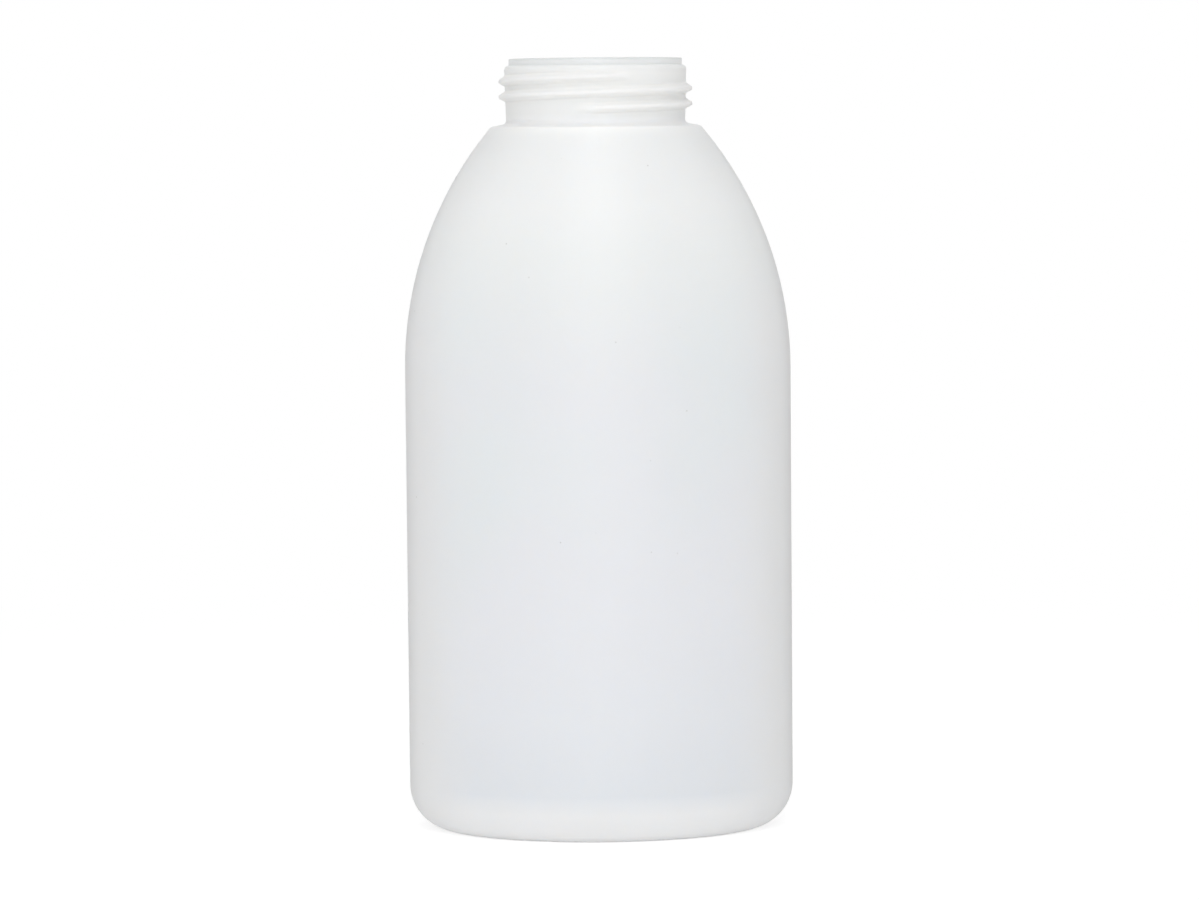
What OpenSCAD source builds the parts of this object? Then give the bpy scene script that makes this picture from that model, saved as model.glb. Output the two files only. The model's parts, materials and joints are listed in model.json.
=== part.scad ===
// Foamer bottle: an oval bottle with a wide threaded neck, blow-moulded in one piece.
// Sizes are in millimetres. It stands on z = 0, with its width along X and its front towards -Y.

/* [Body] */
// Height of the whole bottle, from its foot to its rim
bottle_h = 160; // [140:1:200]
// Width of the oval body
body_w = 80; // [66:1:100]
// Depth of the oval body, from front to back
body_d = 52; // [43:1:70]
// Height of the shoulder, from the straight sides up to the corner of the shelf
shoulder_h = 49.7; // [36:0.1:62]
// Wall thickness of the body
body_wall = 0.9; // [0.6:0.05:1.4]

/* [Base] */
// How far the rounded heel comes in at each narrow end
heel_w = 9; // [6:0.1:12]
// Height of the rounded heel
heel_h = 9.4; // [7:0.1:15]
// Width of the flat foot ring at each narrow end
foot_w = 2.4; // [1.6:0.1:4]
// How high the middle of the base is pushed up
push_up = 4; // [2:0.1:6]
// Wall thickness of the base
base_wall = 1.2; // [0.8:0.1:2]
// Length of the pinched seam that closes the base
seam_l = 40; // [20:1:48]
// Width of the pinched seam
seam_w = 1.1; // [0.6:0.1:2]
// How far the pinched seam stands out of the base
seam_h = 0.45; // [0.2:0.05:0.8]

/* [Neck] */
// Height of the neck, from the shelf to the rim
neck_h = 13.3; // [12:0.1:18]
// Diameter of the bore
bore_d = 33.7; // [31:0.1:34.2]
// Outer diameter of the neck wall at its top
neck_top_d = 37.6; // [37:0.1:38.2]
// Outer diameter of the neck wall at its foot
neck_foot_d = 37; // [36.6:0.1:37.6]
// Outer diameter of the sealing lip
lip_d = 35.8; // [35:0.1:36.4]
// Height of the sealing lip
lip_h = 1.4; // [0.8:0.1:2]
// Height of the rounded step between the lip and the neck wall
lip_step_h = 0.9; // [0.5:0.1:1.4]
// Diameter of the shelf at its outer corner
shelf_d = 44; // [42.8:0.1:48]
// Slope of the shelf, in degrees below level
shelf_slope = 12; // [6:0.5:20]
// Radius of the corner between the shelf and the shoulder
shelf_round = 1.2; // [0.6:0.1:1.6]
// Wall thickness under the shelf
shelf_wall = 1.3; // [1:0.1:1.6]

/* [Thread] */
// Diameter over the crest of the thread
thread_d = 40; // [39.2:0.1:40.4]
// Rise in one turn
thread_pitch = 3.175; // [2.6:0.005:3.6]
// Number of turns
thread_turns = 2.12; // [1.5:0.01:2.25]
// Distance from the rim down to the crest of the thread at its upper end
thread_drop = 3.64; // [3.5:0.02:4.2]
// Place of the thread's upper end, in degrees round the neck from +X
thread_end_angle = 297; // [0:1:355]
// Length of the run-out at each end of the thread, in degrees
thread_fade = 22; // [12:1:40]

/* [Hidden] */

plastic = "#ebeceb";

// Points round each section of the body, and steps along its curves
section_points = 80;
heel_steps = 8;
dome_steps = 5;
shoulder_steps = 16;
corner_steps = 3;
inner_shoulder_steps = 12;
inner_heel_steps = 7;
inner_dome_steps = 3;
thread_steps_per_turn = 48;
round_fn = 96;

// How far one solid reaches into another that it is joined to, or a cut past a face
sink = 0.8;
// The level ring that the neck stands on lies this far inside the corner of the shelf
ring_margin = 0.6;
// The neck's flare ends this far inside that ring's edge, and this far above it
flare_margin = 0.3;
flare_lift = 0.05;
// The skin's own opening is this much smaller than the bore, which then trims it
opening_margin = 0.6;
// Shape of the base's dome: 2 is round, and more is flatter in the middle
dome_power = 2.5;

half_w = body_w / 2;
half_d = body_d / 2;
depth_share = body_d / body_w;
bore_r = bore_d / 2;
neck_top_r = neck_top_d / 2;
neck_foot_r = neck_foot_d / 2;
lip_r = lip_d / 2;
shelf_r = shelf_d / 2;
thread_r = thread_d / 2;

// The foot ring lies between these two half-widths
foot_outer = half_w - heel_w;
foot_inner = foot_outer - foot_w;

// Curvature of the arc that leaves an upright side and comes in by inset over rise
function arc_curve(inset, rise) = 2 * inset / (inset * inset + rise * rise);
// Curvature of the arc that lies inside another by a wall
function inner_curve(curve, wall) = curve / (1 - curve * wall);
// How far an arc has come in at a height above the side that it leaves
function arc_inset(curve, up) = curve * up * up / (1 + sqrt(1 - pow(curve * up, 2)));
// Height of the shelf's cone at a distance from the axis
function shelf_z(r) = bottle_h - neck_h - (r - neck_foot_r) * tan(shelf_slope);
// Height of the dome of the base, at a share of the way from its middle to the foot ring
function dome_z(share) = push_up * (1 - pow(share, dome_power));

front_curve = arc_curve(half_w - shelf_r, shoulder_h);
side_curve = arc_curve(half_d - shelf_r, shoulder_h);

// The corner turns from the slope of the shoulder to the slope of the shelf
corner_start = asin(front_curve * shoulder_h);
corner_end = 90 - shelf_slope;
corner_top_r = shelf_r - shelf_round * (cos(corner_start) - cos(corner_end));
corner_z = shelf_z(corner_top_r) - shelf_round * (sin(corner_end) - sin(corner_start));
side_top = corner_z - shoulder_h;

// The neck stands on a level ring cut into the shelf, just inside the corner
ring_r = corner_top_r - ring_margin;
ring_z = shelf_z(ring_r);
flare_r = ring_r - flare_margin;
shelf_under_z = ring_z - shelf_wall;
opening_r = bore_r - opening_margin;

// Each ring of the body is half its width, half its depth and its height
function base_ring(x, z) = [x, x * depth_share, z];
function round_ring(r, z) = [r, r, z];

outer_rings = concat(
    [for (i = [1:dome_steps])
        let (share = i / dome_steps) base_ring(foot_inner * share, dome_z(share))],
    [for (i = [0:heel_steps])
        let (turn = 90 * i / heel_steps)
        base_ring(foot_outer + heel_w * sin(turn), heel_h * (1 - cos(turn)))],
    [for (i = [0:shoulder_steps])
        let (up = shoulder_h * i / shoulder_steps)
        [half_w - arc_inset(front_curve, up), half_d - arc_inset(side_curve, up), side_top + up]],
    [for (i = [1:corner_steps])
        let (turn = corner_start + (corner_end - corner_start) * i / corner_steps)
        round_ring(shelf_r - shelf_round * (cos(corner_start) - cos(turn)),
                   corner_z + shelf_round * (sin(turn) - sin(corner_start)))],
    [round_ring(ring_r, ring_z), round_ring(opening_r, ring_z)]);

inner_front_curve = inner_curve(front_curve, body_wall);
inner_side_curve = inner_curve(side_curve, body_wall);
inner_up = shelf_under_z - side_top;

inner_rings = concat(
    [round_ring(opening_r, shelf_under_z)],
    [for (i = [0:inner_shoulder_steps])
        let (up = inner_up * (1 - i / inner_shoulder_steps))
        [half_w - body_wall - arc_inset(inner_front_curve, up),
         half_d - body_wall - arc_inset(inner_side_curve, up),
         side_top + up]],
    [for (i = [0:inner_heel_steps])
        let (turn = 90 * (1 - i / inner_heel_steps))
        [foot_outer + (heel_w - body_wall) * sin(turn),
         foot_outer * depth_share + (heel_w * depth_share - body_wall) * sin(turn),
         base_wall + (heel_h - base_wall) * (1 - cos(turn))]],
    [for (i = [0:inner_dome_steps - 1])
        let (share = 1 - i / inner_dome_steps)
        base_ring(foot_inner * share, base_wall + dome_z(share))]);

// The points of one oval ring
function ring_points(ring) =
    [for (i = [0:section_points - 1])
        let (a = 360 * i / section_points)
        [ring[0] * cos(a), ring[1] * sin(a), ring[2]]];

// A closed solid through a list of rings, from a first point on the axis to a last one
module loft(first_z, rings, last_z) {
    count = len(rings);
    n = section_points;
    last = 1 + count * n;
    points = concat([[0, 0, first_z]], [for (ring = rings) each ring_points(ring)], [[0, 0, last_z]]);
    function at(ring, i) = 1 + ring * n + i % n;
    faces = concat(
        [for (i = [0:n - 1]) [0, at(0, i), at(0, i + 1)]],
        [for (ring = [0:count - 2], i = [0:n - 1])
            each [[at(ring, i), at(ring + 1, i), at(ring + 1, i + 1)],
                  [at(ring, i), at(ring + 1, i + 1), at(ring, i + 1)]]],
        [for (i = [0:n - 1]) [at(count - 1, i), last, at(count - 1, i + 1)]]);
    polyhedron(points = points, faces = faces, convexity = 6);
}

// The oval body as one skin of plastic: up the outside, over the shelf and down the inside
module body_shell() {
    loft(dome_z(0), concat(outer_rings, inner_rings), base_wall + dome_z(0));
}

// The weld on the base where the mould pinched the tube of plastic shut
module base_seam() {
    half = seam_l / 2;
    steps = 12;
    spots = [for (i = [0:steps]) -half + seam_l * i / steps];
    rotate([90, 0, 0])
        linear_extrude(height = seam_w, center = true)
            polygon(concat(
                [for (x = spots) [x, dome_z(abs(x) / foot_inner) - seam_h]],
                [for (i = [steps:-1:0])
                    let (x = spots[i]) [x, dome_z(abs(x) / foot_inner) + base_wall / 2]]));
}

// The neck: a flare out of the shelf, a slightly tapered wall, a rounded step and the sealing lip
module neck() {
    step_steps = 6;
    wall_top = bottle_h - lip_h - lip_step_h;
    rotate_extrude($fn = round_fn)
        polygon(concat(
            [[opening_r, ring_z - sink], [flare_r, ring_z - sink], [flare_r, ring_z + flare_lift]],
            [[neck_foot_r, bottle_h - neck_h], [neck_top_r, wall_top]],
            [for (i = [1:step_steps])
                let (turn = 90 * i / step_steps)
                [lip_r + (neck_top_r - lip_r) * cos(turn), wall_top + lip_step_h * sin(turn)]],
            [[lip_r, bottle_h], [opening_r, bottle_h]]));
}

// Section of the thread: distance from the axis, and height from the crest.
// The upper flank slopes more gently than the lower one, and the crest is rounded.
thread_root_r = neck_foot_r - 0.6;
flank_foot_r = neck_foot_r - 0.05;
thread_upper = 1.12;
thread_lower = 0.78;
crest_round = 0.2;
crest_half = 0.3;
thread_section = [
    [thread_root_r, thread_upper],
    [flank_foot_r, thread_upper],
    [thread_r - crest_round, crest_half],
    [thread_r, 0],
    [thread_r - crest_round, -crest_half],
    [flank_foot_r, -thread_lower],
    [thread_root_r, -thread_lower]];

// Share of the thread's full size at an angle from its start, from a tip sunk in the wall to full and back
tip_share = 0.22;
function thread_share(angle) =
    let (near = min(angle, 360 * thread_turns - angle) / thread_fade, k = min(near, 1))
    tip_share + (1 - tip_share) * k * k * (3 - 2 * k);

// A right-handed helical thread, with its roots inside the neck wall and its ends run out
module thread() {
    count = ceil(thread_turns * thread_steps_per_turn);
    sides = len(thread_section);
    start_z = bottle_h - thread_drop - thread_turns * thread_pitch;
    start_angle = thread_end_angle - 360 * thread_turns;
    points = [for (i = [0:count], p = thread_section)
        let (angle = 360 * thread_turns * i / count,
             share = thread_share(angle),
             r = thread_root_r + (p[0] - thread_root_r) * share,
             a = start_angle + angle)
        [r * cos(a), r * sin(a), start_z + thread_pitch * angle / 360 + p[1] * share]];
    function at(i, side) = i * sides + side % sides;
    faces = concat(
        [[for (side = [0:sides - 1]) at(0, side)]],
        [for (i = [0:count - 1], side = [0:sides - 1])
            each [[at(i, side), at(i + 1, side), at(i + 1, side + 1)],
                  [at(i, side), at(i + 1, side + 1), at(i, side + 1)]]],
        [[for (side = [sides - 1:-1:0]) at(count, side)]]);
    polyhedron(points = points, faces = faces, convexity = 6);
}

// The bore runs from the rim down through the shelf into the hollow body
module bore() {
    translate([0, 0, shelf_under_z - sink])
        cylinder(r = bore_r, h = bottle_h - shelf_under_z + 2 * sink, $fn = round_fn);
}

module bottle() {
    color(plastic)
        difference() {
            union() {
                body_shell();
                base_seam();
                neck();
                thread();
            }
            bore();
        }
}

bottle();
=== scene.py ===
# %% [markdown]
# A bare foamer bottle, made in Blender around its CAD model.
# The bottle is one blow-moulding of natural polyethylene: an oval body, a rounded shoulder and a wide
# threaded neck. The script first loads the CAD model, which fixes every size and place. It then makes one
# smooth skin of the plastic, gives it its material, and sets up the floor, the light and the camera.

# %% Load the frame
import json
import math

import bmesh
import bpy
import numpy as np
from mathutils import Matrix, Vector


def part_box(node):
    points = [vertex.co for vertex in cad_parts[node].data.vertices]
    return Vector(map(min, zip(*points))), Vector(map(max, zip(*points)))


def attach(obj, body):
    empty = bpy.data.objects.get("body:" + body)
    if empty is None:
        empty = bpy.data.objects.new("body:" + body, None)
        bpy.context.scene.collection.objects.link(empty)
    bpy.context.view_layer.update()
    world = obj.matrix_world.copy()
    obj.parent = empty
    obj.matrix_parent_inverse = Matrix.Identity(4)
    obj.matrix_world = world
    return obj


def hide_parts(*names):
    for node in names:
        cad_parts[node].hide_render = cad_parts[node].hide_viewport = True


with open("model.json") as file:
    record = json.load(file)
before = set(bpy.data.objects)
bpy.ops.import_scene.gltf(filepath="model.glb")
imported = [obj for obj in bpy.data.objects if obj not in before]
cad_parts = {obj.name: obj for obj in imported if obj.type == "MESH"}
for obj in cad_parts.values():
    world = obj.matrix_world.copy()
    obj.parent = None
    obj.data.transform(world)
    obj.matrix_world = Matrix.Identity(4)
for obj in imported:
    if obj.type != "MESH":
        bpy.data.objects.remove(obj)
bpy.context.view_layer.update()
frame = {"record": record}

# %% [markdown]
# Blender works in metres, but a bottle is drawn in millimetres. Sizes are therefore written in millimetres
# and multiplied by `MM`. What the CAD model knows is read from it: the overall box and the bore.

MM = 0.001
low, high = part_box("bottle")
mounts = {mount["name"]: mount for mount in frame["record"]["mounts"]}
half_w = (high[0] - low[0]) / 2
half_d = (high[1] - low[1]) / 2
bottle_h = high[2] - low[2]
bore_r = mounts["neck_bore"]["dims"]["r_mm"] * MM
bore_l = mounts["neck_bore"]["dims"]["length_mm"] * MM
depth_share = half_d / half_w
print(f"bottle {half_w * 2 / MM:.1f} x {half_d * 2 / MM:.1f} x {bottle_h / MM:.1f} mm")
print(f"bore {bore_r * 2 / MM:.1f} mm wide and {bore_l / MM:.1f} mm deep")

# %% [markdown]
# Two small helpers serve the whole script. A colour on a data sheet or a screen is an sRGB hex value, but
# Blender's shaders want linear light, so one function turns the first into the second. A node tree is
# easiest to read when each node is one call, so the other adds a node of any kind with its settings and
# with its inputs, each of which is either a plain value or the output of an earlier node.

# %% Helpers for colours and nodes
def linear(hex_colour):
    """The linear RGBA of an sRGB hex colour."""
    channels = [int(hex_colour[i:i + 2], 16) / 255 for i in (1, 3, 5)]
    return [c / 12.92 if c <= 0.04045 else ((c + 0.055) / 1.055) ** 2.4 for c in channels] + [1.0]


def add(tree, kind, inputs=None, **settings):
    """Adds a node of a kind, sets its settings, and sets or links its inputs, by name or number."""
    node = tree.nodes.new(kind)
    for name, value in settings.items():
        setattr(node, name, value)
    for key, value in (inputs or {}).items():
        if isinstance(value, bpy.types.NodeSocket):
            tree.links.new(value, node.inputs[key])
        else:
            node.inputs[key].default_value = value
    return node


print("linear mid grey", [round(c, 3) for c in linear("#808080")])

# %% [markdown]
# The camera comes early, because it decides how much of each detail is seen. It stands 0.9 m in front of the
# bottle at about the height of its neck and looks slightly down at the middle, with a long lens. That keeps
# the sides almost parallel, hides the inside of the neck, and leaves only a sliver of the shelf in sight.
# The picture is 1199 x 900 pixels, and it leans by half a degree.

# %% Camera
FRAME_W = 1199
PIXELS_PER_MM = 4.81
SENSOR_MM = 36.0
camera_place = Vector((0.2 * MM, -900 * MM, 149 * MM))
camera_target = Vector((0.2 * MM, 0.0, 78.9 * MM))
camera_roll = math.radians(-0.5)

camera = bpy.data.objects.new("camera", bpy.data.cameras.new("camera"))
bpy.context.collection.objects.link(camera)
look = camera_target - camera_place
camera.data.sensor_width = SENSOR_MM
camera.data.lens = SENSOR_MM * PIXELS_PER_MM * look.length / MM / FRAME_W
turn = look.to_track_quat("-Z", "Y").to_matrix().to_4x4() @ Matrix.Rotation(camera_roll, 4, "Z")
camera.matrix_world = Matrix.Translation(camera_place) @ turn
bpy.context.scene.camera = camera
print(f"camera {look.length:.3f} m away, lens {camera.data.lens:.1f} mm")

# %% [markdown]
# The sizes of the moulding are those that a bottle maker's drawing gives. The body is an oval that keeps
# one shape from the heel to the shoulder. The shoulder follows one arc in front view and a flatter one
# in side view. The neck is a round, standard finish.

# %% Sizes of the moulding
heel_w = 9.0 * MM            # how far the rounded heel comes in at the narrow ends
heel_h = 9.4 * MM
foot_w = 2.4 * MM            # flat ring that the bottle stands on
push_up = 4.0 * MM           # how high the middle of the base stands
dome_power = 2.5             # 2 is a round dome, more is flatter in the middle
shoulder_h = 49.7 * MM       # from the straight sides to the corner of the shelf
shelf_r = 22.0 * MM
shelf_slope = math.radians(12)
shelf_round = 1.2 * MM
neck_h = 13.3 * MM
neck_foot_r = 18.5 * MM
neck_top_r = 18.8 * MM
lip_r = 17.9 * MM
lip_h = 1.4 * MM
lip_step_h = 0.9 * MM        # rounded step between the lip and the neck wall
edge_round = 0.22 * MM       # the edges of the trimmed lip
body_wall = 0.9 * MM
base_wall = 1.2 * MM
neck_foot_z = bottle_h - neck_h
foot_outer = half_w - heel_w
foot_inner = foot_outer - foot_w
print(f"neck {neck_foot_z / MM:.1f} mm up, foot ring {foot_inner / MM:.1f} to {foot_outer / MM:.1f} mm")

# %% [markdown]
# The bottle could be modelled by extruding rings by hand, but its shape follows a rule: every level is an
# oval, and only its half width and half depth change. So the whole skin is described by one guide line that
# runs up the outside, over the rim and down the inside. Each point of the guide holds the half width,
# the half depth and the height of one ring. A round ring has the same half width and half depth.
# First come the two curves that the guide is made of: the long arc of a shoulder, and a small soft corner.

# %% Curves of the guide
def arc_curve(inset, rise):
    """Curvature of the arc that leaves an upright side and comes in by inset over rise."""
    return 2 * inset / (inset ** 2 + rise ** 2)


def arc_inset(curve, up):
    """How far such an arc has come in at a height above the side that it leaves."""
    return curve * up ** 2 / (1 + math.sqrt(1 - (curve * up) ** 2))


def soft_corner(before, corner, after, steps):
    """Rings of a short smooth curve that rounds the corner between two rings."""
    sizes = list(zip(before, corner, after))
    return [tuple((1 - t) ** 2 * a + 2 * t * (1 - t) * b + t ** 2 * c for a, b, c in sizes)
            for t in np.linspace(0, 1, steps + 1)]


def round_ring(r, z):
    """A ring that is round, as on the neck."""
    return (r, r, z)


def body_ring(x, z):
    """A ring with the body's own proportion of depth to width."""
    return (x, x * depth_share, z)


print("a 1 mm corner passes", [round(c, 2) for c in soft_corner((0, 0, 1), (0, 0, 0), (1, 1, 0), 2)[1]])

# %% [markdown]
# The base is pushed up like the foot of a wine bottle, so that the bottle stands on a ring and can't rock.
# The heel is a quarter of an ellipse, and above it the sides stand straight. The guide starts at the middle
# of the base, and the same line, raised by the thickness of the base, is used again for the inside.

# %% Guide for the base and the heel
def base_rings(lift, count):
    """Rings of the base, from its middle to the foot ring, with a soft corner between the two."""
    before, corner, after = 1.6 * MM, 0.2 * MM, 0.9 * MM
    shares = np.linspace(0, 1 - before / foot_inner, count)
    rings = [body_ring(foot_inner * s, push_up * (1 - s ** dome_power) + lift) for s in shares]
    return rings[:-1] + soft_corner(rings[-1], body_ring(foot_inner + corner, lift),
                                    body_ring(foot_inner + after, lift), 5)


base = base_rings(0.0, 28)
heel = [body_ring(foot_outer + heel_w * math.sin(angle), heel_h * (1 - math.cos(angle)))
        for angle in np.linspace(0, math.pi / 2, 25)]
print("rings in the base", len(base), "and in the heel", len(heel))

# %% [markdown]
# Above the straight sides the front view and the side view follow their own arcs. They meet in a round
# ring at the corner of the shelf, where a small radius turns each of them over into the shelf's gentle
# slope. The side view's arc is steeper at its end, so its corner has the smaller radius.

# %% Guide for the shoulder
def shelf_z(r):
    """Height of the sloping shelf at a distance from the axis."""
    return neck_foot_z - (r - neck_foot_r) * math.tan(shelf_slope)


corner_end = math.pi / 2 - shelf_slope
front_curve = arc_curve(half_w - shelf_r, shoulder_h)
front_start = math.asin(front_curve * shoulder_h)
corner_rise = shelf_round * (math.sin(corner_end) - math.sin(front_start))
corner_r = shelf_r - shelf_round * (math.cos(front_start) - math.cos(corner_end))
corner_z = shelf_z(corner_r) - corner_rise
side_top = corner_z - shoulder_h

side_start = math.asin(arc_curve(half_d - shelf_r, shoulder_h) * shoulder_h)
side_round = corner_rise / (math.sin(corner_end) - math.sin(side_start))
side_corner_d = corner_r + side_round * (math.cos(side_start) - math.cos(corner_end))
side_curve = arc_curve(half_d - side_corner_d, shoulder_h)
side_start = math.asin(side_curve * shoulder_h)


def shoulder_ring(front, side, wall, up):
    """A ring of the shoulder at a height above the straight sides."""
    return (half_w - wall - arc_inset(front, up), half_d - wall - arc_inset(side, up), side_top + up)


sides = [(half_w, half_d, z) for z in np.linspace(heel_h, side_top, 24)[1:-1]]
shoulder = [shoulder_ring(front_curve, side_curve, 0, up) for up in np.linspace(0, shoulder_h, 72)]
print(f"radius of the shoulder: {1 / front_curve / MM:.1f} mm in front view")
print(f"and {1 / side_curve / MM:.1f} mm in side view")

# %% [markdown]
# The shelf carries the collar of a pump. It runs into the neck in a small hollow curve, because a mould
# has no knife edge there and the plastic wouldn't fill one.

# %% Guide for the shelf
def corner_ring(rise):
    """A ring of the rounded corner between the shoulder and the shelf."""
    front = math.asin(min(math.sin(front_start) + rise / shelf_round, 1))
    side = math.asin(min(math.sin(side_start) + rise / side_round, 1))
    return (corner_r + shelf_round * (math.cos(front) - math.cos(corner_end)),
            corner_r + side_round * (math.cos(side) - math.cos(corner_end)), corner_z + rise)


hollow = 0.8 * MM
hollow_r = neck_foot_r + hollow
neck_start = neck_foot_z + hollow
shelf = [corner_ring(rise) for rise in np.linspace(0, corner_rise, 9)[1:]]
shelf += [round_ring(r, shelf_z(r)) for r in np.linspace(corner_r, hollow_r, 6)[1:-1]]
shelf += soft_corner(round_ring(hollow_r, shelf_z(hollow_r)), round_ring(neck_foot_r, neck_foot_z),
                     round_ring(neck_foot_r, neck_start), 6)
print(f"shelf from radius {corner_r / MM:.2f} mm to {hollow_r / MM:.2f} mm, rings {len(shelf)}")

# %% [markdown]
# The neck needs by far the closest rings, because its thread will be pressed out of them: a thread 2.5 mm
# tall wants some twenty-five rings over its height. Above it stands the sealing lip, with the small soft
# edges that trimming leaves.

# %% Guide for the neck and the lip
RING_STEP = 0.095 * MM
wall_top = bottle_h - lip_h - lip_step_h
taper = (neck_top_r - neck_foot_r) / (wall_top - neck_foot_z)
heights = np.linspace(neck_start, wall_top, int((wall_top - neck_start) / RING_STEP))[1:]
neck = [round_ring(neck_foot_r + taper * (z - neck_foot_z), z) for z in heights]

lip_start = wall_top + lip_step_h
lip = [round_ring(lip_r + (neck_top_r - lip_r) * math.cos(angle), wall_top + lip_step_h * math.sin(angle))
       for angle in np.linspace(0, math.pi / 2, 10)[1:-1]]
step_end_r = lip_r + 0.12 * MM
step_end_z = lip_start - 0.02 * MM
lip += soft_corner(round_ring(step_end_r, step_end_z), round_ring(lip_r, lip_start),
                   round_ring(lip_r, lip_start + 0.15 * MM), 3)
lip += soft_corner(round_ring(lip_r, bottle_h - edge_round), round_ring(lip_r, bottle_h),
                   round_ring(lip_r - edge_round, bottle_h), 4)
lip += soft_corner(round_ring(bore_r + edge_round, bottle_h), round_ring(bore_r, bottle_h),
                   round_ring(bore_r, bottle_h - edge_round), 4)
print("rings in the neck", len(neck), "and in the lip", len(lip))

# %% [markdown]
# Inside, the neck is a straight bore, left by the pin that blows the bottle. Below it the skin follows the
# outside at the thickness of the wall. A solid with no inside would have the same outline, but light
# passes through this plastic, so a true wall is what makes the bottle look milky and hollow.

# %% Guide for the inside
inner_top = bottle_h - bore_l
under = 1.0 * MM             # soft corner where the bore opens into the shoulder
throat = 0.5 * MM
inner_front = front_curve / (1 - front_curve * body_wall)
inner_side = side_curve / (1 - side_curve * body_wall)
inner_up = inner_top - under - side_top
inner_shoulder = [shoulder_ring(inner_front, inner_side, body_wall, up)
                  for up in np.linspace(inner_up, 0, 40)]
inside = [round_ring(bore_r, z) for z in np.linspace(bottle_h - edge_round, inner_top + under, 12)[1:]]
inside += soft_corner(round_ring(bore_r, inner_top + throat), round_ring(bore_r + throat, inner_top),
                      inner_shoulder[0], 8)
inside += inner_shoulder[1:]
inside += [(half_w - body_wall, half_d - body_wall, z) for z in np.linspace(side_top, heel_h, 12)[1:-1]]
inside += [(foot_outer + (heel_w - body_wall) * math.sin(angle),
            foot_outer * depth_share + (heel_w * depth_share - body_wall) * math.sin(angle),
            base_wall + (heel_h - base_wall) * (1 - math.cos(angle)))
           for angle in np.linspace(math.pi / 2, 0, 14)]
inside += base_rings(base_wall, 16)[::-1]
guide = base + heel + sides + shoulder + shelf + neck + lip + inside
print("rings in the whole guide", len(guide))

# %% [markdown]
# Natural HDPE is high-density polyethylene with no pigment. Its crystals scatter light, so a thin wall is
# milky: neither clear nor white. Light sinks in for a millimetre or two, spreads, and comes out again on
# both sides, which softens every shadow. Blender calls this subsurface scattering.
#
# The body's wall has one thickness here. A blown wall hasn't: it is likely to be thinnest in the lower body,
# and thicker at the heel, in the shoulder and above all in the neck. A ramp up the bottle, in millimetres of
# height, stands partly for that and is partly painted light. It is darker and bluish in the lower body and
# paler and neutral in the neck. The shoulder and the corner under the neck are painted lighter, as if lit
# from above, the heel is painted lighter, as if lit by the floor, and the rim is painted darker, as shade.
# The narrow ends are painted a little darker too, as shade. The narrow sides show no blue, and soft clouds
# break up the tint on the front and the back. All of these colours are chosen for the look, by trial.
#
# So is the last one. The thread's crest would catch a bright highlight, and painted shade, a slightly darker
# colour, keeps it soft. The skin carries an attribute that says how far each point is pressed out, and the
# crest's painted shade follows it. A Mix node that mixes colours has them in its inputs 6 and 7.

# %% Natural HDPE, blow-moulded: colour
plastic = bpy.data.materials.new("natural HDPE, blow-moulded, satin skin")
plastic.use_nodes = True
tree = plastic.node_tree
tree.nodes.clear()
place = add(tree, "ShaderNodeTexCoord").outputs["Object"]
place_xyz = add(tree, "ShaderNodeSeparateXYZ", {0: place}).outputs

# Tint and painted light by height: the heel, the shoulder and the corner under the neck are painted lighter,
# the rim darker as shade.
tint_and_painted_light_by_height = {
    6.0: "#EFEFEF",          # the heel
    10.0: "#E2E5E9",         # the lower body
    26.0: "#E7E9ED",
    45.0: "#E9EAEE",
    92.0: "#E9EAED",
    112.0: "#EAECEC",
    120.0: "#ECEEED",
    130.0: "#F0F1F0",        # the shoulder
    145.6: "#EFF0EF",
    147.0: "#F8F8F8",        # the corner under the neck
    148.6: "#F0F0EE",        # the neck
    156.8: "#F0F0EE",
    158.0: "#EAEBEA",
    158.7: "#EDEFEE",
    159.4: "#ECEEED",
    159.75: "#CDD2D1",       # the trimmed rim
}
height_share = add(tree, "ShaderNodeMath", {0: place_xyz["Z"], 1: bottle_h}, operation="DIVIDE").outputs[0]
by_height = add(tree, "ShaderNodeValToRGB", {0: height_share})
stops = by_height.color_ramp.elements
stops.remove(stops[1])
stops[0].position = 0.0
for number, (level, hex_colour) in enumerate(tint_and_painted_light_by_height.items()):
    stop = stops[0] if number == 0 else stops.new(level * MM / bottle_h)
    stop.position = level * MM / bottle_h
    stop.color = linear(hex_colour)

from_axis = add(tree, "ShaderNodeVectorMath", {0: place, 1: (1, 1, 0)}, operation="MULTIPLY").outputs[0]
radius = add(tree, "ShaderNodeVectorMath", {0: from_axis}, operation="LENGTH").outputs["Value"]
from_parting = add(tree, "ShaderNodeMath", {0: place_xyz["Y"]}, operation="ABSOLUTE").outputs[0]
facing = add(tree, "ShaderNodeMath", {0: from_parting, 1: radius}, operation="DIVIDE").outputs[0]
narrow_side = add(tree, "ShaderNodeMapRange", {"Value": facing, "From Min": 0.65, "From Max": 0.25},
                  interpolation_type="SMOOTHSTEP").outputs[0]
below_shoulder = add(tree, "ShaderNodeMapRange",
                     {"Value": place_xyz["Z"], "From Min": 125 * MM, "From Max": 105 * MM}).outputs[0]
side_share = add(tree, "ShaderNodeMath", {0: narrow_side, 1: below_shoulder},
                 operation="MULTIPLY").outputs[0]
sides_colour = add(tree, "ShaderNodeMix", {0: side_share, 6: by_height.outputs[0], 7: linear("#EBEBEB")},
                   data_type="RGBA").outputs[2]
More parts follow.
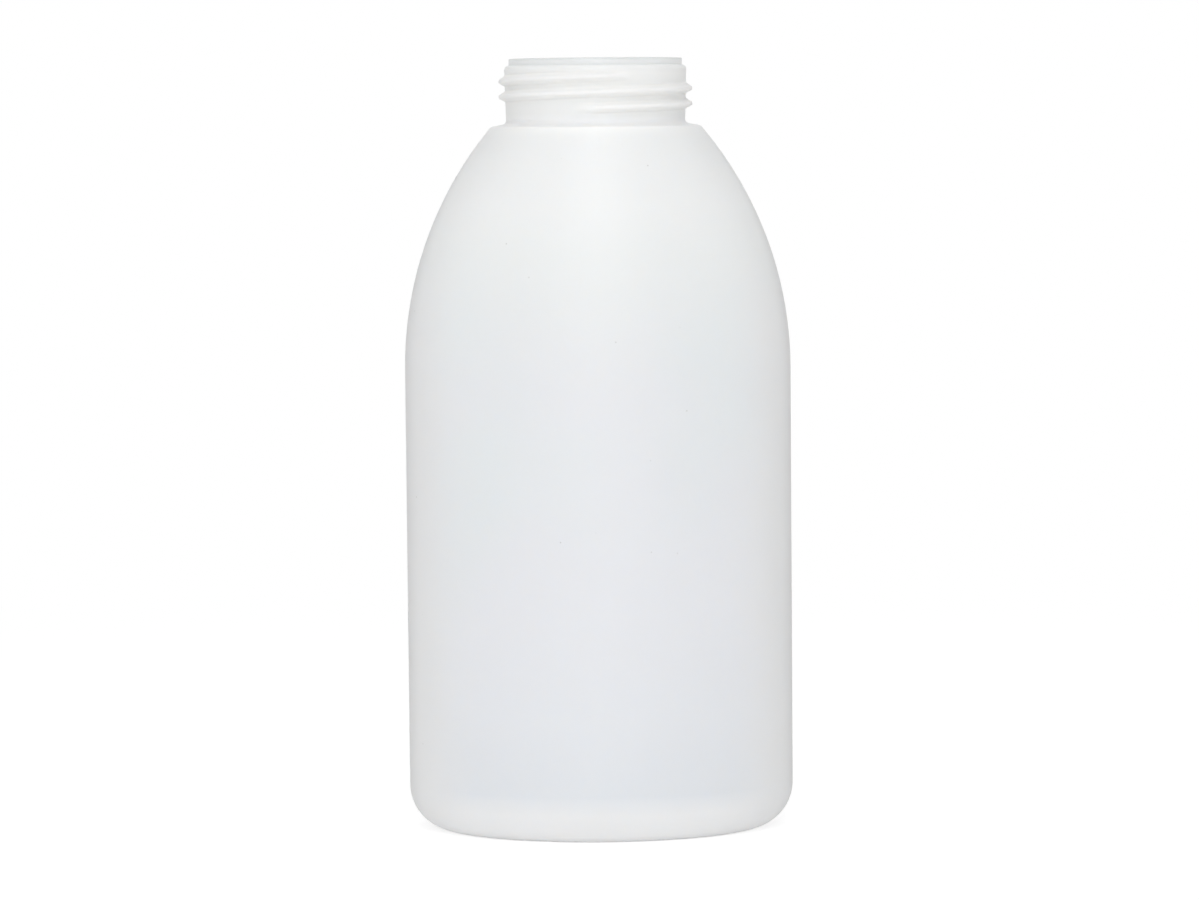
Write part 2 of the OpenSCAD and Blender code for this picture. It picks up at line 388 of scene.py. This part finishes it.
# Painted shade: below the shelf, the narrow ends are multiplied a little darker.
narrow_end_shade = add(tree, "ShaderNodeMapRange", {"Value": facing, "From Min": 0.26, "From Max": 0.05},
                 interpolation_type="SMOOTHSTEP").outputs[0]
below_shelf = add(tree, "ShaderNodeMapRange",
                  {"Value": place_xyz["Z"], "From Min": 145 * MM, "From Max": 138 * MM}).outputs[0]
end_shade_share = add(tree, "ShaderNodeMath", {0: narrow_end_shade, 1: below_shelf}, operation="MULTIPLY").outputs[0]
ends_painted_shade_colour = add(tree, "ShaderNodeMix", {0: end_shade_share, 6: sides_colour, 7: linear("#EFEFEF")},
                  data_type="RGBA", blend_type="MULTIPLY").outputs[2]

cloud_size = 38 * MM
cloud = add(tree, "ShaderNodeTexNoise",
            {"Vector": place, "Scale": 1 / cloud_size, "Detail": 1.0}).outputs["Fac"]
cloudy = add(tree, "ShaderNodeMapRange", {"Value": cloud, "From Min": 0.40, "From Max": 0.65, "To Max": 0.7},
             interpolation_type="SMOOTHSTEP").outputs[0]
above_foot = add(tree, "ShaderNodeMapRange",
                 {"Value": place_xyz["Z"], "From Min": 40 * MM, "From Max": 60 * MM}).outputs[0]
inner_zone = add(tree, "ShaderNodeMath", {0: 1.0, 1: narrow_side}, operation="SUBTRACT").outputs[0]
zone = add(tree, "ShaderNodeMath", {0: below_shoulder, 1: above_foot}, operation="MULTIPLY").outputs[0]
zone = add(tree, "ShaderNodeMath", {0: zone, 1: inner_zone}, operation="MULTIPLY").outputs[0]
cloud_share = add(tree, "ShaderNodeMath", {0: cloudy, 1: zone}, operation="MULTIPLY").outputs[0]
cloud_colour = add(tree, "ShaderNodeMix", {0: cloud_share, 6: ends_painted_shade_colour, 7: linear("#E6EBEC")},
                   data_type="RGBA").outputs[2]

# Painted shade on the thread's crest, which dims its highlight.
pressed_out = add(tree, "ShaderNodeAttribute", attribute_name="pressed out").outputs["Fac"]
crest_painted_shade = add(tree, "ShaderNodeMapRange",
                  {"Value": pressed_out, "From Min": 0.3, "From Max": 1.0}).outputs[0]
skin_colour = add(tree, "ShaderNodeMix", {0: crest_painted_shade, 6: cloud_colour, 7: linear("#E9E9E8")},
                  data_type="RGBA")
print("colours up the bottle:", len(stops), "and nodes so far:", len(tree.nodes))

# %% [markdown]
# Even clean polyethylene has a few gels, which are specks of unmelted polymer, here half a millimetre
# across at most. Voronoi cells give one point each. A random number per cell leaves some of them out, and a
# short range of distance makes each of the others a small soft dot.

# %% Natural HDPE, blow-moulded: specks
gel_spacing = 6 * MM
gel_r = 0.25 * MM
gel_left_out = 0.6
gel_strength = 0.5
cells = add(tree, "ShaderNodeTexVoronoi", {"Vector": place, "Scale": 1 / gel_spacing, "Randomness": 1.0})
pick = add(tree, "ShaderNodeSeparateColor", {0: cells.outputs["Color"]}).outputs[0]
kept = add(tree, "ShaderNodeMath", {0: pick, 1: gel_left_out}, operation="GREATER_THAN").outputs[0]
dot = add(tree, "ShaderNodeMapRange",
          {"Value": cells.outputs["Distance"], "From Min": gel_r / gel_spacing, "From Max": 0.0},
          interpolation_type="SMOOTHSTEP")
speck = add(tree, "ShaderNodeMath", {0: kept, 1: dot.outputs[0]}, operation="MULTIPLY").outputs[0]
speck_share = add(tree, "ShaderNodeMath", {0: speck, 1: gel_strength}, operation="MULTIPLY").outputs[0]
colour = add(tree, "ShaderNodeMix",
             {0: speck_share, 6: skin_colour.outputs[2], 7: linear("#9C9A92")}, data_type="RGBA")
print(f"a gel of {2 * gel_r / MM:.2f} mm in {1 - gel_left_out:.0%} of cells of {gel_spacing / MM:.0f} mm")

# %% [markdown]
# Three kinds of relief lie on the skin. The mould's blasted grain is finest. The die that the hot tube of
# plastic comes out of leaves faint lines down the bottle. The two halves of the mould meet in a plane,
# and leave a thin parting line down each narrow side. All three are only hundredths of a millimetre high,
# too little for a mesh, so they are bump. The grain is really finer than 0.4 mm, and is drawn that
# coarse so that it shows.

# %% Natural HDPE, blow-moulded: relief
grain_size = 0.4 * MM
grain = add(tree, "ShaderNodeTexNoise", {"Vector": place, "Scale": 1 / grain_size, "Detail": 2.0})
die_line_w = 2.2 * MM
die_line_l = 160 * MM
parting_half = 0.18 * MM
line_scale = (1 / die_line_w, 1 / die_line_w, 1 / die_line_l)
stretch = add(tree, "ShaderNodeMapping", {"Vector": place, "Scale": line_scale})
die_lines = add(tree, "ShaderNodeTexNoise", {"Vector": stretch.outputs[0], "Scale": 1.0, "Detail": 1.0})
parting = add(tree, "ShaderNodeMapRange",
              {"Value": from_parting, "From Min": parting_half, "From Max": 0.0},
              interpolation_type="SMOOTHSTEP")

grain_bump = add(tree, "ShaderNodeBump",
                 {"Strength": 0.10, "Distance": 0.05 * MM, "Height": grain.outputs["Fac"]})
line_bump = add(tree, "ShaderNodeBump",
                {"Strength": 0.25, "Distance": 0.05 * MM, "Height": die_lines.outputs["Fac"],
                 "Normal": grain_bump.outputs[0]})
parting_bump = add(tree, "ShaderNodeBump",
                   {"Strength": 0.5, "Distance": 0.06 * MM, "Height": parting.outputs[0],
                    "Normal": line_bump.outputs[0]})
print("nodes so far", len(tree.nodes))

# %% [markdown]
# The Principled shader takes it all. Polyethylene's index of refraction is about 1.54. Its roughness
# is that of satin, and varies a little, because the mould is never blasted evenly. The scattering
# distance is a little longer for red light than for blue, which gives the cool and the warm tints. In the
# neck it is more than twice what it is in the body. The plastic is the same, so that too is chosen for the
# look: it makes the thread's shading soft.

# %% Natural HDPE, blow-moulded: shader
wear_size = 18 * MM
body_scatter = 1.5 * MM
neck_scatter = 3.5 * MM
wear = add(tree, "ShaderNodeTexNoise", {"Vector": place, "Scale": 1 / wear_size, "Detail": 3.0})
satin = add(tree, "ShaderNodeMapRange", {"Value": wear.outputs["Fac"], "To Min": 0.42, "To Max": 0.52})
scatter = add(tree, "ShaderNodeMapRange",
              {"Value": place_xyz["Z"], "From Min": neck_foot_z - 1 * MM, "From Max": neck_foot_z + 1 * MM,
               "To Min": body_scatter, "To Max": neck_scatter})
hdpe = add(tree, "ShaderNodeBsdfPrincipled", {
    "Base Color": colour.outputs[2],
    "Roughness": satin.outputs[0],
    "IOR": 1.54,
    "Subsurface Weight": 1.0,
    "Subsurface Radius": (1.0, 0.94, 0.88),
    "Subsurface Scale": scatter.outputs[0],
    "Normal": parting_bump.outputs[0],
})
add(tree, "ShaderNodeOutputMaterial", {"Surface": hdpe.outputs[0]})
print("material", plastic.name, "with", len(tree.nodes), "nodes")

# %% [markdown]
# Now the skin itself. Geometry Nodes will make it from the guide, so that the shape stays a rule with named
# sizes: change a pitch or a radius, and the bottle follows. The tree's inputs are the guide, the sizes of
# the thread and of the seam under the base, and the plastic.

# %% Skin tree: inputs
skin = bpy.data.node_groups.new("blow-moulded skin", "GeometryNodeTree")
skin_sizes = {
    "Points round": 192,
    "Crest radius": 20.0 * MM,
    "Pitch": 3.175 * MM,
    "Turns": 2.12,
    "Upper end height": 156.36 * MM,
    "Upper end angle": math.radians(297),
    "Run-out turns": 22 / 360,
    "Half crest": 0.15 * MM,
    "Upper flank": 1.35 * MM,
    "Lower flank": 1.15 * MM,
    "Seam length": 40 * MM,
    "Seam width": 1.1 * MM,
    "Seam height": 0.45 * MM,
}
skin.interface.new_socket("Guide", in_out="INPUT", socket_type="NodeSocketGeometry")
for name, value in skin_sizes.items():
    kind = "NodeSocketInt" if isinstance(value, int) else "NodeSocketFloat"
    skin.interface.new_socket(name, in_out="INPUT", socket_type=kind)
skin.interface.new_socket("Plastic", in_out="INPUT", socket_type="NodeSocketMaterial")
skin.interface.new_socket("Skin", in_out="OUTPUT", socket_type="NodeSocketGeometry")
size = add(skin, "NodeGroupInput").outputs
print("inputs:", ", ".join(socket.name for socket in size if socket.name))

# %% [markdown]
# The skin starts as a flat grid with one row for each ring of the guide and one column for each step
# round. A vertex's index gives its row and its column. The row looks up its ring in the guide, and the
# column gives the angle round the axis. The guide also carries two marks, which say where the thread
# and the seam may be.

# %% Skin tree: rows, columns and rings
ring_count = add(skin, "GeometryNodeAttributeDomainSize", {0: size["Guide"]},
                 component="MESH").outputs["Point Count"]
column_count = add(skin, "ShaderNodeMath", {0: size["Points round"], 1: 1.0}, operation="ADD").outputs[0]
grid = add(skin, "GeometryNodeMeshGrid",
           {"Vertices X": ring_count, "Vertices Y": column_count}).outputs["Mesh"]
index = add(skin, "GeometryNodeInputIndex").outputs[0]
middle = add(skin, "ShaderNodeMath", {0: index, 1: 0.5}, operation="ADD").outputs[0]
rows = add(skin, "ShaderNodeMath", {0: middle, 1: column_count}, operation="DIVIDE").outputs[0]
row = add(skin, "ShaderNodeMath", {0: rows}, operation="FLOOR").outputs[0]
column = add(skin, "ShaderNodeMath", {0: index, 1: column_count}, operation="MODULO").outputs[0]
step = add(skin, "ShaderNodeMath", {0: math.tau, 1: size["Points round"]}, operation="DIVIDE").outputs[0]
angle = add(skin, "ShaderNodeMath", {0: column, 1: step}, operation="MULTIPLY").outputs[0]

position = add(skin, "GeometryNodeInputPosition").outputs[0]
ring = add(skin, "GeometryNodeSampleIndex", {"Geometry": size["Guide"], "Value": position, "Index": row},
           data_type="FLOAT_VECTOR").outputs[0]
marks = {}
for mark in ("thread", "seam"):
    named = add(skin, "GeometryNodeInputNamedAttribute", {"Name": mark}, data_type="FLOAT").outputs[0]
    marks[mark] = add(skin, "GeometryNodeSampleIndex",
                      {"Geometry": size["Guide"], "Value": named, "Index": row},
                      data_type="FLOAT").outputs[0]
ring_xyz = add(skin, "ShaderNodeSeparateXYZ", {0: ring}).outputs
print("nodes so far", len(skin.nodes))

# %% [markdown]
# The thread is a helix that climbs with the angle, so it is right-handed. It could be a swept curve joined
# to the neck, but a blow-moulded thread has no joint: it is the neck wall itself, pressed out into a groove
# of the mould. So each vertex of the neck asks how far down the helix it is, in turns, and how far it lies
# above or below the nearest turn.

# %% Skin tree: place on the helix
to_end = add(skin, "ShaderNodeMath", {0: size["Upper end angle"], 1: angle}, operation="SUBTRACT").outputs[0]
turn_here = add(skin, "ShaderNodeMath", {0: to_end, 1: math.tau}, operation="DIVIDE").outputs[0]
drop = add(skin, "ShaderNodeMath", {0: size["Upper end height"], 1: ring_xyz["Z"]},
           operation="SUBTRACT").outputs[0]
turn_by_height = add(skin, "ShaderNodeMath", {0: drop, 1: size["Pitch"]}, operation="DIVIDE").outputs[0]
turns_apart = add(skin, "ShaderNodeMath", {0: turn_by_height, 1: turn_here}, operation="SUBTRACT").outputs[0]
whole_turns = add(skin, "ShaderNodeMath", {0: turns_apart}, operation="ROUND").outputs[0]
helix_turn = add(skin, "ShaderNodeMath", {0: turn_here, 1: whole_turns}, operation="ADD").outputs[0]
off_turn = add(skin, "ShaderNodeMath", {0: helix_turn, 1: turn_by_height}, operation="SUBTRACT").outputs[0]
above_helix = add(skin, "ShaderNodeMath", {0: off_turn, 1: size["Pitch"]}, operation="MULTIPLY").outputs[0]
below_helix = add(skin, "ShaderNodeMath", {0: above_helix, 1: -1.0}, operation="MULTIPLY").outputs[0]
turns_left = add(skin, "ShaderNodeMath", {0: size["Turns"], 1: helix_turn}, operation="SUBTRACT").outputs[0]
print("nodes so far", len(skin.nodes))

# %% [markdown]
# Two smooth ramps then give the thread's section, a gentle one above the crest and a slightly steeper one
# below it, and two more run the thread out at its ends. The product of the four says how much of its full
# height the thread has at a vertex. A Map Range node has From Min and From Max in its inputs 1 and 2.

# %% Skin tree: section and ends of the thread
upper = add(skin, "ShaderNodeMapRange",
            {"Value": above_helix, 1: size["Upper flank"], 2: size["Half crest"]},
            interpolation_type="SMOOTHSTEP").outputs[0]
lower = add(skin, "ShaderNodeMapRange",
            {"Value": below_helix, 1: size["Lower flank"], 2: size["Half crest"]},
            interpolation_type="SMOOTHSTEP").outputs[0]
first_end = add(skin, "ShaderNodeMapRange", {"Value": helix_turn, 2: size["Run-out turns"]},
                interpolation_type="SMOOTHSTEP").outputs[0]
last_end = add(skin, "ShaderNodeMapRange", {"Value": turns_left, 2: size["Run-out turns"]},
               interpolation_type="SMOOTHSTEP").outputs[0]
section = add(skin, "ShaderNodeMath", {0: upper, 1: lower}, operation="MULTIPLY").outputs[0]
ends = add(skin, "ShaderNodeMath", {0: first_end, 1: last_end}, operation="MULTIPLY").outputs[0]
shape = add(skin, "ShaderNodeMath", {0: section, 1: ends}, operation="MULTIPLY").outputs[0]
thread_share = add(skin, "ShaderNodeMath", {0: shape, 1: marks["thread"]}, operation="MULTIPLY").outputs[0]
thread_h = add(skin, "ShaderNodeMath", {0: size["Crest radius"], 1: ring_xyz["X"]},
               operation="SUBTRACT").outputs[0]
press = add(skin, "ShaderNodeMath", {0: thread_h, 1: thread_share}, operation="MULTIPLY").outputs[0]
print("nodes so far", len(skin.nodes))

# %% [markdown]
# With the angle, the ring and the press of the thread known, the place of each vertex follows. Under the
# base, the mould pinches the tube shut, which leaves a short raised seam along the width of the bottle.

# %% Skin tree: place of each vertex
cosine = add(skin, "ShaderNodeMath", {0: angle}, operation="COSINE").outputs[0]
sine = add(skin, "ShaderNodeMath", {0: angle}, operation="SINE").outputs[0]
out_x = add(skin, "ShaderNodeMath", {0: ring_xyz["X"], 1: press}, operation="ADD").outputs[0]
out_y = add(skin, "ShaderNodeMath", {0: ring_xyz["Y"], 1: press}, operation="ADD").outputs[0]
x = add(skin, "ShaderNodeMath", {0: out_x, 1: cosine}, operation="MULTIPLY").outputs[0]
y = add(skin, "ShaderNodeMath", {0: out_y, 1: sine}, operation="MULTIPLY").outputs[0]

along = add(skin, "ShaderNodeMath", {0: x}, operation="ABSOLUTE").outputs[0]
across = add(skin, "ShaderNodeMath", {0: y}, operation="ABSOLUTE").outputs[0]
half_l = add(skin, "ShaderNodeMath", {0: size["Seam length"], 1: 0.5}, operation="MULTIPLY").outputs[0]
half_t = add(skin, "ShaderNodeMath", {0: size["Seam width"], 1: 0.5}, operation="MULTIPLY").outputs[0]
seam_run_out = 2 * MM
short_of_end = add(skin, "ShaderNodeMath", {0: half_l, 1: seam_run_out}, operation="SUBTRACT").outputs[0]
seam_along = add(skin, "ShaderNodeMapRange", {"Value": along, 1: half_l, 2: short_of_end},
                 interpolation_type="SMOOTHSTEP").outputs[0]
seam_across = add(skin, "ShaderNodeMapRange", {"Value": across, 1: half_t, 2: 0.0},
                  interpolation_type="SMOOTHSTEP").outputs[0]
seam_shape = add(skin, "ShaderNodeMath", {0: seam_along, 1: seam_across}, operation="MULTIPLY").outputs[0]
seam_share = add(skin, "ShaderNodeMath", {0: seam_shape, 1: marks["seam"]}, operation="MULTIPLY").outputs[0]
seam_drop = add(skin, "ShaderNodeMath", {0: seam_share, 1: size["Seam height"]},
                operation="MULTIPLY").outputs[0]
z = add(skin, "ShaderNodeMath", {0: ring_xyz["Z"], 1: seam_drop}, operation="SUBTRACT").outputs[0]
vertex = add(skin, "ShaderNodeCombineXYZ", {0: x, 1: y, 2: z}).outputs[0]
print("nodes so far", len(skin.nodes))

# %% [markdown]
# The last nodes store how far each vertex is pressed out, as an attribute that the plastic's colour reads,
# and bend the grid into the skin. Its first and last columns meet, and its first and last rows each shrink
# to a point in the middle of the base, so merging by distance closes the seam and the two poles. The rows
# run upwards outside, which turns the faces inwards, so they are flipped.

# %% Skin tree: bend, close and finish
marked = add(skin, "GeometryNodeStoreNamedAttribute",
             {"Geometry": grid, "Name": "pressed out", "Value": thread_share},
             data_type="FLOAT", domain="POINT").outputs[0]
bent = add(skin, "GeometryNodeSetPosition", {"Geometry": marked, "Position": vertex}).outputs[0]
closed = add(skin, "GeometryNodeMergeByDistance", {"Geometry": bent, "Distance": 0.001 * MM}).outputs[0]
outward = add(skin, "GeometryNodeFlipFaces", {0: closed}).outputs[0]
smooth = add(skin, "GeometryNodeSetShadeSmooth", {"Geometry": outward, "Shade Smooth": True}).outputs[0]
real = add(skin, "GeometryNodeRealizeInstances", {0: smooth}).outputs[0]
finished = add(skin, "GeometryNodeSetMaterial", {"Geometry": real, "Material": size["Plastic"]}).outputs[0]
add(skin, "NodeGroupOutput", {0: finished})
print("skin tree has", len(skin.nodes), "nodes")

# %% [markdown]
# The guide becomes a mesh with vertices only, each with its two marks. A modifier runs the tree on it, with
# each input set by its identifier. The result is copied into a plain mesh, which is the piece itself.

# %% The bottle shell
guide_mesh = bpy.data.meshes.new("guide")
guide_mesh.from_pydata(guide, [], [])
neck_first = len(base + heel + sides + shoulder + shelf)
is_thread = [float(neck_first <= i < neck_first + len(neck)) for i in range(len(guide))]
is_seam = [float(i < len(base)) for i in range(len(guide))]
guide_mesh.attributes.new("thread", "FLOAT", "POINT").data.foreach_set("value", is_thread)
guide_mesh.attributes.new("seam", "FLOAT", "POINT").data.foreach_set("value", is_seam)
guide_piece = bpy.data.objects.new("guide", guide_mesh)
bpy.context.collection.objects.link(guide_piece)

maker = guide_piece.modifiers.new("skin", "NODES")
maker.node_group = skin
for socket in skin.interface.items_tree:
    if socket.in_out == "INPUT" and socket.name != "Guide":
        maker[socket.identifier] = plastic if socket.name == "Plastic" else skin_sizes[socket.name]
evaluated = guide_piece.evaluated_get(bpy.context.evaluated_depsgraph_get())
shell_mesh = bpy.data.meshes.new_from_object(evaluated)
guide_piece.modifiers.remove(maker)
bpy.data.objects.remove(guide_piece)

shell = bpy.data.objects.new("bottle_shell", shell_mesh)
bpy.context.collection.objects.link(shell)
print("bottle shell has", len(shell_mesh.vertices), "vertices and", len(shell_mesh.polygons), "faces")

# %% [markdown]
# A closed skin with a true wall can be weighed, and that is a good test of the mesh: every edge has two
# faces, and the volume of plastic is positive only if the faces point outwards. Polyethylene weighs 0.95
# grams per cubic centimetre.

# %% Test of the shell
HDPE_G_PER_CM3 = 0.95
tested = bmesh.new()
tested.from_mesh(shell_mesh)
open_edges = sum(len(edge.link_faces) != 2 for edge in tested.edges)
plastic_cm3 = tested.calc_volume(signed=True) / (10 * MM) ** 3
triangles = sum(len(face.verts) - 2 for face in tested.faces)
tested.free()
print("open edges", open_edges, "and triangles", triangles)
print(f"plastic {plastic_cm3:.1f} cm3, {plastic_cm3 * HDPE_G_PER_CM3:.1f} g")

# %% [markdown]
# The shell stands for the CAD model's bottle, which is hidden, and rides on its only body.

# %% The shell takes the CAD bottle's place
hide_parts("bottle")
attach(shell, "root")
print("shell replaces the CAD bottle")

# %% [markdown]
# A white object on white is a classic of product photography. The floor and the world are pure white where
# the camera sees them, which is a strength of 1. What lights the bottle is separate and weaker, so that the
# plastic keeps its tone. Close to the bottle the floor gives up part of that white and takes the light
# that falls on it instead, so the bottle keeps a faint shadow where it stands. To the light that
# bounces on to the bottle, the floor is white paper with a weak glow of its own, as on a table lit from
# below.

# %% Floor
reach = 4.0                  # metres from the middle of the floor to its edges
shadow_full = 0.12           # up to this distance from the axis, the floor takes its full share of light
shadow_end = 0.45            # beyond this distance it takes none, and only glows
light_taken = 0.3            # share of its own glow that it gives up
glow_below = 0.09
floor_mesh = bpy.data.meshes.new("floor")
floor_mesh.from_pydata([(-reach, -reach, 0), (reach, -reach, 0), (reach, reach, 0), (-reach, reach, 0)],
                       [], [(0, 1, 2, 3)])
floor = bpy.data.objects.new("floor", floor_mesh)
bpy.context.collection.objects.link(floor)
paper = bpy.data.materials.new("white paper sweep")
paper.use_nodes = True
tree = paper.node_tree
tree.nodes.clear()
path = add(tree, "ShaderNodeLightPath").outputs
seen = add(tree, "ShaderNodeMath", {0: path["Is Camera Ray"], 1: path["Is Glossy Ray"]},
           operation="MAXIMUM").outputs[0]
seen = add(tree, "ShaderNodeMath", {0: seen, 1: path["Is Transmission Ray"]},
           operation="MAXIMUM").outputs[0]
place = add(tree, "ShaderNodeTexCoord").outputs["Object"]
away = add(tree, "ShaderNodeVectorMath", {0: place}, operation="LENGTH").outputs["Value"]
near = add(tree, "ShaderNodeMapRange", {"Value": away, "From Min": shadow_end, "From Max": shadow_full},
           interpolation_type="SMOOTHSTEP").outputs[0]
glow_level = add(tree, "ShaderNodeMath", {0: near, 1: -light_taken, 2: 1.0},
                 operation="MULTIPLY_ADD").outputs[0]
near_white = add(tree, "ShaderNodeMix", {0: near, 6: linear("#000000"), 7: linear("#BCBCBC")},
                 data_type="RGBA")
glow = add(tree, "ShaderNodeEmission", {"Strength": glow_level}).outputs[0]
shaded = add(tree, "ShaderNodeBsdfDiffuse", {"Color": near_white.outputs[2]}).outputs[0]
pure = add(tree, "ShaderNodeAddShader", {0: glow, 1: shaded}).outputs[0]
matt = add(tree, "ShaderNodeBsdfDiffuse", {"Color": linear("#F4F4F4")}).outputs[0]
lit_below = add(tree, "ShaderNodeEmission", {"Strength": glow_below}).outputs[0]
table = add(tree, "ShaderNodeAddShader", {0: matt, 1: lit_below}).outputs[0]
surface = add(tree, "ShaderNodeMixShader", {0: seen, 1: table, 2: pure}).outputs[0]
add(tree, "ShaderNodeOutputMaterial", {0: surface})
floor_mesh.materials.append(paper)
print("floor", tuple(round(c, 1) for c in floor.dimensions))

# %% [markdown]
# The world works the same way: white where it is seen or reflected, and much weaker where it lights the
# bottle, so that it fills the shadows without flattening the shape.

# %% World
fill = 0.44                  # strength of the world as a light on the bottle
world = bpy.data.worlds.new("white studio")
world.use_nodes = True
tree = world.node_tree
tree.nodes.clear()
path = add(tree, "ShaderNodeLightPath").outputs
seen = add(tree, "ShaderNodeMath", {0: path["Is Camera Ray"], 1: path["Is Glossy Ray"]},
           operation="MAXIMUM").outputs[0]
seen = add(tree, "ShaderNodeMath", {0: seen, 1: path["Is Transmission Ray"]},
           operation="MAXIMUM").outputs[0]
dim = add(tree, "ShaderNodeBackground", {"Color": (1, 1, 1, 1), "Strength": fill}).outputs[0]
white = add(tree, "ShaderNodeBackground", {"Color": (1, 1, 1, 1), "Strength": 1.0}).outputs[0]
surface = add(tree, "ShaderNodeMixShader", {0: seen, 1: dim, 2: white}).outputs[0]
add(tree, "ShaderNodeOutputWorld", {0: surface})
bpy.context.scene.world = world
print("world", world.name)

# %% [markdown]
# Softboxes do the rest. One hangs overhead, and the key light stands high in front. A third stands behind
# the camera, a little above it, and makes the broad soft light down the middle. A weaker one on each side
# fills the edges, but the narrow sides still fall away to a soft grey, helped by the painted shade on the
# narrow ends, and that is what draws the bottle on the white.

# %% Softboxes
def softbox(name, place, target, width, height, watts):
    """An oblong area light that faces a point."""
    data = bpy.data.lights.new(name, "AREA")
    data.shape = "RECTANGLE"
    data.size = width
    data.size_y = height
    data.energy = watts
    box = bpy.data.objects.new(name, data)
    aim = (Vector(target) - Vector(place)).to_track_quat("-Z", "Y").to_matrix().to_4x4()
    box.matrix_world = Matrix.Translation(place) @ aim
    bpy.context.collection.objects.link(box)
    print(f"{name}: {watts} W, {width} x {height} m")


softbox("overhead softbox", (0, -0.1, 1.1), (0, 0, 0.1), 1.2, 1.0, 1.2)
softbox("key softbox", (0, -1.1, 1.2), (0, 0, 0.09), 0.8, 0.8, 4.1)
softbox("front softbox", (0, -1.6, 0.43), (0, 0, 0.09), 0.6, 0.6, 6.7)
softbox("left softbox", (-1.3, -0.6, 0.25), (0, 0, 0.08), 0.8, 0.8, 2.6)
softbox("right softbox", (1.3, -0.6, 0.25), (0, 0, 0.08), 0.8, 0.8, 2.1)

# %% [markdown]
# Last, the Standard view shows each colour as it was written.

# %% Colour view
bpy.context.scene.view_settings.view_transform = "Standard"
